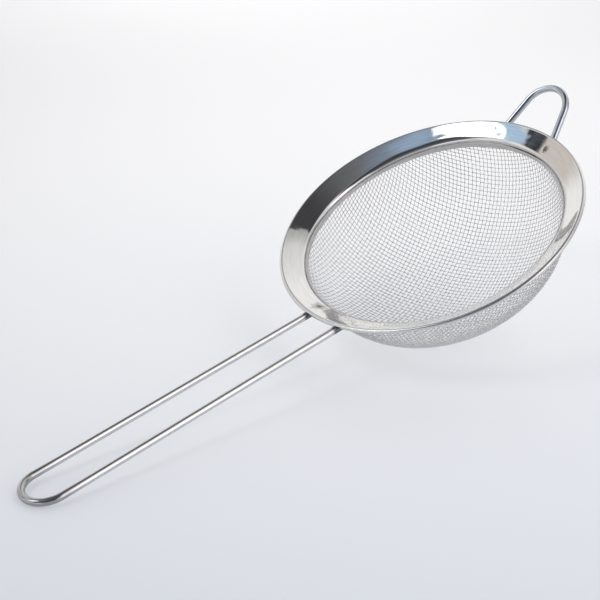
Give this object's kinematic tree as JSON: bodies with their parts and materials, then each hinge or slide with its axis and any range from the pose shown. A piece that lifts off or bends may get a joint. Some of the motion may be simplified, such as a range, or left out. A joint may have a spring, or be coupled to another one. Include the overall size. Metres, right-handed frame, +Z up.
{
  "type": "mesh strainer",
  "caption": "Hand strainer: woven wire bowl in a polished funnel rim, with a hairpin wire handle and a wire rest loop on the far side.",
  "frame": {"origin": "on the table plane, under the middle of the part's box, with the part at rest on the bottom of its bowl and the end of its handle", "axes": "+Z up; +X from the handle towards the rest loop; Y = 0 is the plane of symmetry"},
  "size_m": [0.2558, 0.12, 0.0792],
  "materials": {
    "polished_rim": "mirror polished stainless sheet",
    "matte_band": "matte stainless strip",
    "woven_cloth": "drawn stainless wire cloth",
    "bright_wire": "bright drawn stainless wire",
    "weld": "dull fused metal"
  },
  "bodies": {
    "root": {"rim_flange": "polished_rim", "mesh_clamp_band": "matte_band", "mesh_bowl": "woven_cloth", "handle_wire": "bright_wire", "rest_loop": "bright_wire", "handle_welds": "weld", "loop_welds": "weld"}
  },
  "joints": []
}
